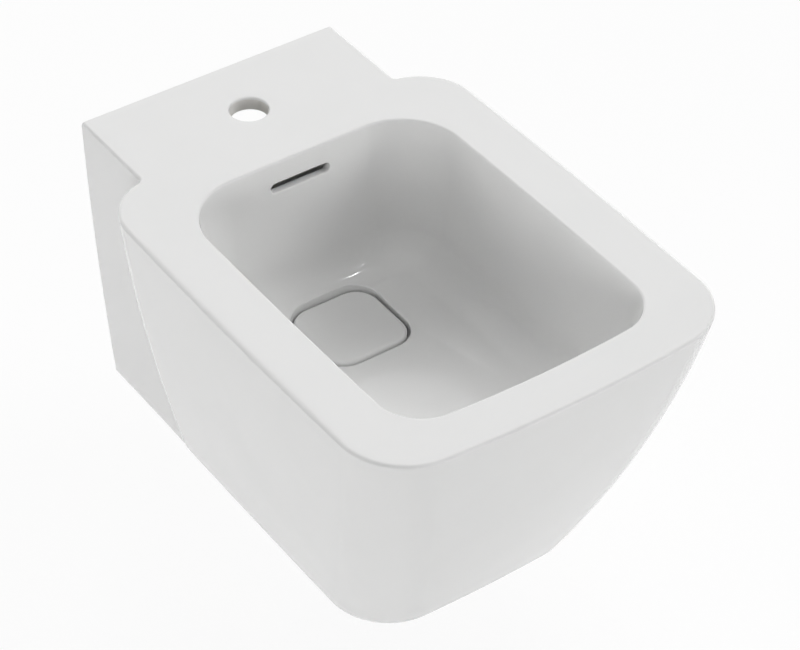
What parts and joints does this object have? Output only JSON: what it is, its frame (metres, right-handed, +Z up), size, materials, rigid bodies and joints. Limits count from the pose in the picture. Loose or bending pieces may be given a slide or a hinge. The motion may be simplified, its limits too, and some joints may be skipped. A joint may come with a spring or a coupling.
{
  "type": "wall-hung bidet",
  "caption": "Wall-hung bidet in white glazed ceramic with a tap deck, an overflow slot and a square push-to-open waste cover flush in the floor of its basin.",
  "frame": {"origin": "midway between the two fixing holes, on the plane of the wall", "axes": "+Z up; +Y into the wall, so the front of the bowl faces -Y; +X to the right seen from the front"},
  "size_m": [0.3532, 0.5319, 0.2915],
  "materials": {
    "glaze": "glossy white glaze",
    "chrome": "polished plating on brass",
    "steel": "drawn spring wire",
    "brass": "as turned",
    "rubber": "black, matt",
    "plastic": "moulded, natural white"
  },
  "bodies": {
    "casting": {"ceramic_body": "glaze", "waste_body": "chrome", "cartridge_sleeve": "plastic", "cartridge_cap": "plastic", "cartridge_spring": "steel", "flange_gasket": "rubber", "lower_gasket": "rubber", "slip_washer": "plastic", "backnut": "brass", "fixing_bushes": "plastic"},
    "plug": {"waste_cover": "glaze", "cover_carrier": "plastic", "plug_seal": "rubber", "plug_stem": "chrome", "height_nut": "chrome"},
    "cam": {"latch_cam": "plastic"}
  },
  "joints": [
    {"name": "cover_push", "type": "slide", "parent": "casting", "child": "plug", "axis": [0, 0, 1], "range_m": [-0.0015, 0.008], "deforming": ["cartridge_spring"]},
    {"name": "cam_turn", "type": "hinge", "parent": "plug", "child": "cam", "pos_m": [0, -0.2195, -0.1005], "axis": [0, 0, 1], "continuous": true}
  ]
}
